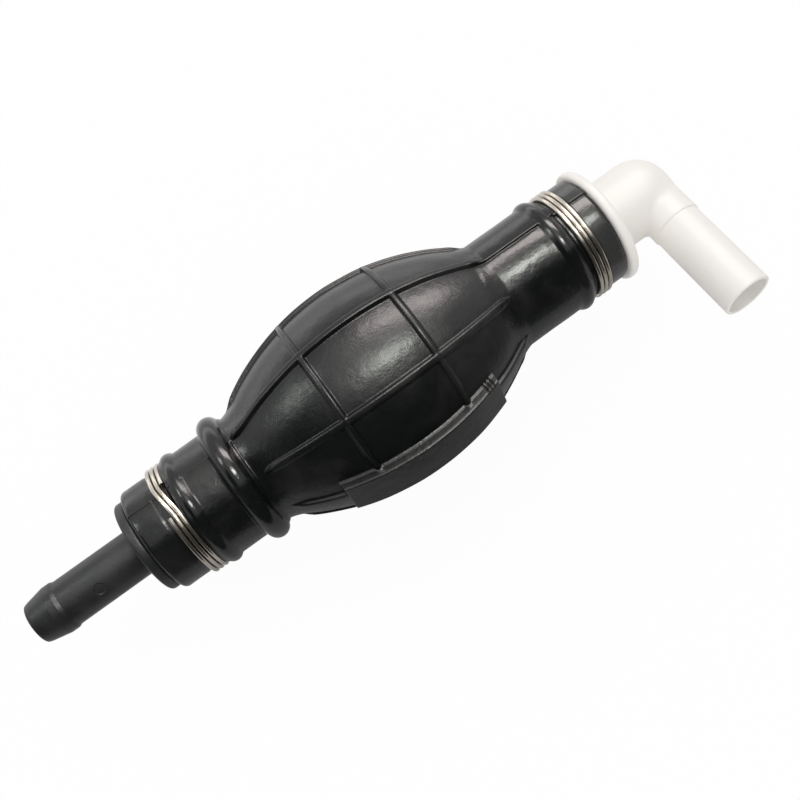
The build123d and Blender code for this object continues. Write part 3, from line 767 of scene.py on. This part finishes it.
def wound_wire_tree():
    """Geometry nodes: a round wire wound about the pump's axis, in neat rings or an even coil."""
    tree = bpy.data.node_groups.new("wound_wire", "GeometryNodeTree")
    for name, kind, value in (
        ("Coil Radius", "Float", 0.0132), ("Wire Radius", "Float", 0.00055), ("Turns", "Float", 2.8),
        ("Pitch", "Float", 0.00116), ("Middle", "Float", 0.0), ("First Angle", "Float", 0.0),
        ("Crossing Angle", "Float", 0.0), ("Crossing Share", "Float", 1.0), ("End Lift", "Float", 0.0),
        ("Steps", "Int", 200), ("Sides", "Int", 14),
    ):
        made = tree.interface.new_socket(name, in_out="INPUT", socket_type=f"NodeSocket{kind}")
        made.default_value = value
    tree.interface.new_socket("Wire Material", in_out="INPUT", socket_type="NodeSocketMaterial")
    tree.interface.new_socket("Geometry", in_out="OUTPUT", socket_type="NodeSocketGeometry")
    given = node(tree, "NodeGroupInput", -1800, 0).outputs
    column = [-1500]

    def calc(operation, *terms):
        column[0] += 90
        return worked(tree, column[0], -300, operation, *terms)

    line = node(tree, "GeometryNodeMeshLine", -1500, 300, Count=given["Steps"])
    curve = node(tree, "GeometryNodeMeshToCurve", -1300, 300, line.outputs["Mesh"])
    index = node(tree, "GeometryNodeInputIndex", -1700, -300)
    share = calc("DIVIDE", index.outputs[0], calc("SUBTRACT", given["Steps"], 1))
    wound = calc("MULTIPLY", share, given["Turns"])
    angle = calc("MULTIPLY_ADD", wound, math.tau, given["First Angle"])
    crossed = calc("DIVIDE", calc("SUBTRACT", angle, given["Crossing Angle"]), math.tau)
    whole = calc("FLOOR", crossed)
    step = node(tree, "ShaderNodeMapRange", -300, -500, calc("SUBTRACT", crossed, whole),
                From_Max=given["Crossing Share"])
    rings = calc("ADD", whole, step.outputs["Result"])
    start = calc("DIVIDE", calc("SUBTRACT", given["First Angle"], given["Crossing Angle"]), math.tau)
    middle = calc("MULTIPLY_ADD", given["Turns"], 0.5, start)
    along = calc("MULTIPLY_ADD", calc("SUBTRACT", rings, middle), given["Pitch"], given["Middle"])
    from_end = calc("MINIMUM", wound, calc("SUBTRACT", given["Turns"], wound))
    lift = calc("MAXIMUM", calc("SUBTRACT", 1, calc("MULTIPLY", from_end, END_TURN_PARTS)), 0)
    radius = calc("MULTIPLY_ADD", calc("POWER", lift, 2), given["End Lift"], given["Coil Radius"])
    across = calc("MULTIPLY", calc("MULTIPLY", calc("SINE", angle), radius), -1)
    up = calc("MULTIPLY", calc("COSINE", angle), radius)
    spot = node(tree, "ShaderNodeCombineXYZ", 700, -200, along, across, up)
    laid = node(tree, "GeometryNodeSetPosition", 850, 200, Geometry=curve.outputs["Curve"],
                Position=spot.outputs["Vector"])
    profile = node(tree, "GeometryNodeCurvePrimitiveCircle", 850, 0, Resolution=given["Sides"],
                   Radius=given["Wire Radius"])
    tube = node(tree, "GeometryNodeCurveToMesh", 1000, 200, Curve=laid.outputs["Geometry"],
                Profile_Curve=profile.outputs["Curve"], Fill_Caps=True)
    real = node(tree, "GeometryNodeRealizeInstances", 1150, 200, tube.outputs["Mesh"])
    metal = node(tree, "GeometryNodeSetMaterial", 1300, 200, Geometry=real.outputs["Geometry"],
                 Material=given["Wire Material"])
    node(tree, "NodeGroupOutput", 1600, 0, Geometry=metal.outputs["Geometry"])
    return tree


WOUND_WIRE = wound_wire_tree()


def wound_wire(name, cad_node, slot_name, material, body, **sizes):
    """One wound wire as a plain mesh that stands for its CAD node."""
    carrier = bpy.data.objects.new(name + "_pattern", bpy.data.meshes.new(name + "_pattern"))
    bpy.context.scene.collection.objects.link(carrier)
    winding = carrier.modifiers.new("winding", "NODES")
    winding.node_group = WOUND_WIRE
    sockets = {s.name: s.identifier for s in WOUND_WIRE.interface.items_tree if s.in_out == "INPUT"}
    for key, value in sizes.items():
        winding[sockets[key.replace("_", " ")]] = value
    winding[sockets["Wire Material"]] = material
    bpy.context.view_layer.update()
    shaped = carrier.evaluated_get(bpy.context.evaluated_depsgraph_get())
    mesh = bpy.data.meshes.new_from_object(shaped)
    bpy.data.objects.remove(carrier)
    mesh.name = name
    mesh.polygons.foreach_set("use_smooth", [len(p.vertices) < 5 for p in mesh.polygons])
    face_outwards(mesh)
    piece = bpy.data.objects.new(name, mesh)
    bpy.context.scene.collection.objects.link(piece)
    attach(piece, body)
    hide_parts(cad_node)
    return piece


def make_clamps():
    for end, middle, first, gap in (("inlet", INLET_CLAMP_X, 17, 32), ("outlet", OUTLET_CLAMP_X, 230, 40)):
        wound_wire(
            f"{end}_wire_clamp", f"{end}_clamp", "clamp_wire", clamp_wire, "pump_body",
            Coil_Radius=CLAMP_R * MM, Wire_Radius=WIRE_R * MM, Turns=3 - gap / 360, Pitch=WIRE_PITCH * MM,
            Middle=middle * MM, First_Angle=math.radians(first), Crossing_Angle=math.radians(first - gap),
            Crossing_Share=gap / 360, End_Lift=CLAMP_END_LIFT * MM, Steps=420, Sides=16,
        )


def make_springs():
    for end, body in (("inlet", "pump_body"), ("outlet", "elbow")):
        low, high = place(f"{end}_valve_spring")
        length = high[0] - low[0] - SPRING_WIRE
        spring = wound_wire(
            f"{end}_poppet_spring", f"{end}_valve_spring", "spring_steel", spring_steel, body,
            Coil_Radius=SPRING_R * MM, Wire_Radius=SPRING_WIRE / 2 * MM, Turns=float(SPRING_TURNS),
            Pitch=length / SPRING_TURNS * MM, Middle=(low[0] + high[0]) / 2 * MM,
            First_Angle=0.0, Crossing_Angle=0.0, Crossing_Share=1.0, End_Lift=0.0, Steps=300, Sides=12,
        )
        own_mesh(spring)


# ---- inlet fitting ----

def make_inlet_fitting():
    flange, end = BULB_START - INLET_FLANGE_WIDTH, INLET_SPIGOT_END
    floor, cage = BULB_START + INLET_CHAMBER_FLOOR, end - INLET_CAGE_DEPTH
    outline = rounded([
        (0, HOSE_TAIL_BORE_R, 0.2), (0, TAIL_NOSE_R, 0.35), (1.0, BARB_START_R, 0.3),
        (5.2, BARB_R, 0.25), (7.0, BARB_R, 0.25), (7.9, HOSE_TAIL_R, 0.4), (flange, HOSE_TAIL_R, 0.5),
        (flange, INLET_FLANGE_R, 0.8), (BULB_START, INLET_FLANGE_R, 0.8), (BULB_START, BARREL_R, 0),
        (end, BARREL_R, 0.5), (end, CAGE_BORE_R, 0.2), (cage, CAGE_BORE_R, 0), (cage, CHAMBER_R, 0),
        (floor, CHAMBER_R, 0.2), (floor, HOSE_TAIL_BORE_R, 0.2),
    ])
    piece = turned("inlet_hose_tail", split_long(outline, 1.5), black_plastic, "pump_body", sides=160)
    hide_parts("inlet_fitting")


# ---- outlet elbow ----

def rod(along, off_axis, start, end, radius, rounding):
    """Distance to a round rod with rounded ends."""
    q1 = off_axis - radius + rounding
    q2 = np.abs(along - (start + end) / 2) - (end - start) / 2 + rounding
    outside = np.sqrt(np.maximum(q1, 0) ** 2 + np.maximum(q2, 0) ** 2)
    return outside + np.minimum(np.maximum(q1, q2), 0) - rounding


def elbow_plastic(x, from_axis, down, from_tail):
    """Signed distance to the elbow without its bores: barrel, flange, leg and hose tail."""
    leg = rod(x, from_axis, BULB_END - 6, ELBOW_END, ELBOW_LEG_R, ELBOW_DOME)
    flange = rod(x, from_axis, BULB_END, BULB_END + ELBOW_FLANGE_WIDTH, ELBOW_FLANGE_R, 0.8)
    barrel = rod(x, from_axis, OUTLET_SPIGOT_START, BULB_END + 1, BARREL_R, 0.4)
    root = rod(down, from_tail, 0, ELBOW_ROOT_END, ELBOW_ROOT_R, 0.12)
    tail = smooth_min(rod(down, from_tail, 0, -TAIL_MOUTH_Y, ELBOW_TAIL_R, 0.4), root, 0.1)
    plastic = smooth_min(np.minimum(leg, barrel), flange, 0.9)
    return np.maximum(smooth_min(plastic, tail, 1.1), x - ELBOW_END)


def elbow_water(x, from_axis, down, from_tail):
    """Signed distance to the water's way through the elbow, which widens at the tail's mouth."""
    spigot = OUTLET_SPIGOT_START
    flare = MOUTH_FLARE * ease((down + TAIL_MOUTH_Y + FLARE_DEPTH) / FLARE_LENGTH)
    return np.minimum.reduce([
        rod(x, from_axis, spigot - 5, spigot + OUTLET_CAGE_DEPTH, CAGE_BORE_R, 0.1),
        rod(x, from_axis, spigot, spigot + OUTLET_CHAMBER_DEPTH, CHAMBER_R, 0.1),
        rod(x, from_axis, spigot + 10, TAIL_X + ELBOW_LEG_BORE_R, ELBOW_LEG_BORE_R, BORE_DOME),
        rod(down, from_tail, 0, 30, ELBOW_TAIL_BORE_R, 0.1),
        rod(down, from_tail - flare, 0, -TAIL_MOUTH_Y + 5, MOUTH_BORE_R, 0.1),
    ])


def elbow_skin(x, y, z):
    """Signed distance to the elbow's surface, less than zero in the plastic."""
    spot = x, np.sqrt(y ** 2 + z ** 2), -y, np.sqrt((x - TAIL_X) ** 2 + z ** 2)
    return smooth_max(elbow_plastic(*spot), -elbow_water(*spot), 0.25)


def make_elbow():
    step, reach = 0.32, 15.2
    xs = stations([
        OUTLET_SPIGOT_START - 0.5, (OUTLET_SPIGOT_START + 1, 0.3), (BULB_END - 1, 0.5),
        (BULB_END + 3.4, 0.22), (TAIL_X - 7.5, 0.4), (ELBOW_END + 0.5, step),
    ])
    ys = stations([
        TAIL_MOUTH_Y - 0.3, (TAIL_MOUTH_Y + 1.0, 0.16), (-12.3, 0.42), (-11.2, 0.12), (reach, step),
    ])
    points, faces = net_over(elbow_skin, xs, ys, stations([-reach, (reach, step)]))
    piece = solid_object("outlet_hose_elbow", points, faces, white_plastic, "elbow")
    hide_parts("outlet_elbow")


# ---- check valves ----

def make_valves():
    for end, seat_body, lift_body in (
        ("inlet", "pump_body", "inlet_poppet"), ("outlet", "elbow", "outlet_poppet"),
    ):
        low, high = place(f"{end}_valve_seat")
        outer, face = high[2], high[0] - SEAT_LAND
        seat = turned(f"{end}_seat_ring", rounded([
            (low[0], SEAT_BORE_R, 0.25), (low[0], outer, 0.2), (face, outer, 0.2), (face, SEAT_LAND_R, 0.1),
            (high[0], SEAT_LAND_R, 0.15), (high[0], SEAT_BORE_R, 0.25),
        ], 4), valve_plastic, seat_body)
        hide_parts(f"{end}_valve_seat")

        low, high = place(f"{end}_valve_seal")
        seal = turned(f"{end}_seal_ring", rounded([
            (low[0], SEAL_BORE_R, 0.2), (low[0], high[2], 0.3), (high[0], high[2], 0.3),
            (high[0], SEAL_BORE_R, 0.2),
        ], 4), seal_rubber, lift_body)
        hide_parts(f"{end}_valve_seal")

        low, high = place(f"{end}_valve_poppet")
        nose = low[0]
        waist, plate, stem = (nose + step for step in POPPET_STEPS)
        poppet = solid_turned(f"{end}_poppet_body", rounded([
            (nose, 0, 0), (nose, POPPET_NOSE_R, 0.25), (waist, POPPET_NOSE_R, 0.1),
            (waist, POPPET_WAIST_R, 0.1), (plate, POPPET_WAIST_R, 0), (plate, POPPET_PLATE_R, 0.25),
            (stem, POPPET_PLATE_R, 0.25), (stem, POPPET_STEM_R, 0.3), (high[0], POPPET_STEM_R, 0.4),
            (high[0], 0, 0),
        ], 4), valve_plastic, lift_body)
        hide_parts(f"{end}_valve_poppet")

        for cage_slot in frame["nodes"][f"{end}_valve_cage"].material_slots:
            cage_slot.material = valve_plastic


# ---- floor, light and viewpoint ----

ROOM_LIGHT = 0.89  # of the room where it lights the pieces
FLOOR_SHADE = (0.9, 0.9, 0.9, 1)
FLOOR_WHITE = 0.96  # share of the floor that stays white under its shadow
FLOOR_REACH = 3.0
# greys of the cards; the strip's grey is painted shade of the floor beside the pump, for reflections
DARK_SHADE, SHADOW_STRIP_GREY = 0.06, 0.62
CARD_TOP, CARD_FOOT, STRIP_EDGE = (-0.36, 0.56), (-0.066, -0.023), (-0.008, -0.0235)
# name, grey, x from and to, and y and z of the two long edges
CARDS = (
    ("dark_card", DARK_SHADE, -1.4, 1.6, CARD_TOP, CARD_FOOT),
    # the grey strip is painted shadow: the shaded floor beside the pump, seen only in reflections
    ("floor_shadow_card", SHADOW_STRIP_GREY, -1.4, 1.6, CARD_FOOT, STRIP_EDGE),
    ("end_card", DARK_SHADE, -2.0, -0.40, (0.06, 0.90), (-0.70, 0.90)),
)
# name, lean, along, distance, width, length, power, colour, whether it only shows in gloss
LAMPS = (
    ("ceiling_lamp", -18, 8, 0.85, 0.52, 0.62, 1.0, (1.0, 0.985, 0.97), False),
    ("window_lamp", -28.8, 29, 0.80, 0.24, 0.59, 6.3, (1.0, 0.91, 0.89), True),
    ("front_lamp", 9, 12, 0.78, 0.12, 0.34, 4.5, (0.97, 1.0, 0.93), True),
    ("side_lamp", -22, -32, 0.80, 0.11, 0.22, 1.1, (0.93, 1.0, 0.93), True),
    ("wall_lamp", -86, -4, 1.20, 0.40, 2.00, 4.3, (1.0, 0.99, 0.98), True),
)
VIEW_AIM = (93.4, -6.9, 0)
VIEW_DISTANCE = 233.4
VIEW_TURNS = (-10.65, 65.83, -25.85)  # round the pump, above the floor, and roll
VIEW_LENS = 46.94


def seen_directly(tree):
    """One where a ray comes from the viewpoint, a reflection or a clear piece."""
    path = node(tree, "ShaderNodeLightPath", -900, 200).outputs
    either = worked(tree, -700, 200, "MAXIMUM", path["Is Camera Ray"], path["Is Glossy Ray"])
    return worked(tree, -500, 200, "MAXIMUM", either, path["Is Transmission Ray"])


def flat_sheet(name, corners, material):
    """A flat sheet that stands in the room, in metres."""
    mesh = bpy.data.meshes.new(name)
    mesh.from_pydata(corners, [], [(0, 1, 2, 3)])
    mesh.materials.append(material)
    sheet = bpy.data.objects.new(name, mesh)
    bpy.context.scene.collection.objects.link(sheet)
    return sheet


def make_floor():
    """Pale floor: plain white to the viewpoint and in reflections, matt under the lamps."""
    material = bpy.data.materials.new("pale_floor")
    material.use_nodes = True
    tree = material.node_tree
    tree.nodes.clear()
    matt = node(tree, "ShaderNodeBsdfDiffuse", -200, 0, Color=FLOOR_SHADE)
    white = node(tree, "ShaderNodeEmission", -200, -200, Strength=1.0)
    share = worked(tree, -300, 200, "MULTIPLY", seen_directly(tree), FLOOR_WHITE)
    mix = node(tree, "ShaderNodeMixShader", 0, 0, share, matt.outputs["BSDF"], white.outputs["Emission"])
    node(tree, "ShaderNodeOutputMaterial", 200, 0, Surface=mix.outputs["Shader"])
    low, far = cad_box[0][2], FLOOR_REACH
    corners = [(-far, -far, low), (far, -far, low), (far, far, low), (-far, far, low)]
    floor = flat_sheet("floor", corners, material)


def make_world():
    """Pale room: white to the viewpoint and in reflections, softer where it lights the pieces."""
    world = bpy.data.worlds.new("studio")
    bpy.context.scene.world = world
    world.use_nodes = True
    tree = world.node_tree
    tree.nodes.clear()
    room, white = (
        node(tree, "ShaderNodeBackground", -200, y, Color=(1, 1, 1, 1), Strength=strength)
        for y, strength in ((100, ROOM_LIGHT), (-100, 1.0))
    )
    mix = node(tree, "ShaderNodeMixShader", 0, 0, seen_directly(tree), room.outputs["Background"],
               white.outputs["Background"])
    node(tree, "ShaderNodeOutputWorld", 200, 0, Surface=mix.outputs["Shader"])


def make_cards():
    """Cards seen only in gloss, which keep the rubber black.

    A dark one leans over the tail's side, with a grey strip at its foot that is painted shadow,
    the shaded floor beside the pump seen in reflections, and a dark one hangs overhead beyond the inlet
    end.
    """
    for name, grey, first, last, upper, lower in CARDS:
        material = bpy.data.materials.new(name)
        material.use_nodes = True
        shader = material.node_tree.nodes["Principled BSDF"].inputs
        shader["Base Color"].default_value = (grey, grey, grey, 1)
        shader["Roughness"].default_value = 1.0
        shader["Specular IOR Level"].default_value = 0.0
        corners = [(first, *upper), (last, *upper), (last, *lower), (first, *lower)]
        card = flat_sheet(name, corners, material)
        card.visible_camera = card.visible_diffuse = card.visible_shadow = False


def softbox(name, lean, along, distance, width, length, power, color, gloss_only):
    """Soft lamp facing the bulb; lean is from straight up towards -Y, along is towards +X."""
    lamp = bpy.data.lights.new(name, "AREA")
    lamp.shape = "RECTANGLE"
    lamp.size, lamp.size_y = length, width
    lamp.energy = power
    lamp.color = color
    holder = bpy.data.objects.new(name, lamp)
    a, b = math.radians(lean), math.radians(along)
    out = Vector((math.sin(b), -math.sin(a) * math.cos(b), math.cos(a) * math.cos(b)))
    side = Vector((0, math.cos(a), math.sin(a))).cross(out).normalized()
    place_at = Vector((BULB_MID * MM, 0, 0)) + out * distance
    holder.matrix_world = Matrix.Translation(place_at) @ Matrix(
        (side, out.cross(side), out)
    ).transposed().to_4x4()
    holder.visible_diffuse = not gloss_only
    bpy.context.scene.collection.objects.link(holder)


def make_lights():
    for lamp in LAMPS:
        softbox(*lamp)


def make_viewpoint():
    """Camera over the pump's inlet side, rolled so that the pump runs up to the right."""
    around, above, roll = (math.radians(turn) for turn in VIEW_TURNS)
    back = Vector((
        math.sin(around) * math.cos(above), -math.cos(around) * math.cos(above), math.sin(above)
    ))
    lens = bpy.data.cameras.new("viewpoint")
    lens.lens = VIEW_LENS
    lens.clip_start, lens.clip_end = 0.01, 20
    camera = bpy.data.objects.new("viewpoint", lens)
    turn = (-back).to_track_quat("-Z", "Y").to_matrix() @ Matrix.Rotation(roll, 3, "Z")
    spot = Vector(VIEW_AIM) * MM + back * (VIEW_DISTANCE * MM)
    camera.matrix_world = Matrix.Translation(spot) @ turn.to_4x4()
    bpy.context.scene.collection.objects.link(camera)
    bpy.context.scene.camera = camera


make_viewpoint()
make_floor()
make_world()
make_cards()
make_lights()
make_bulb()
make_clamps()
make_springs()
make_inlet_fitting()
make_elbow()
make_valves()

bpy.context.scene.view_settings.view_transform = "Standard"
bpy.context.view_layer.update()
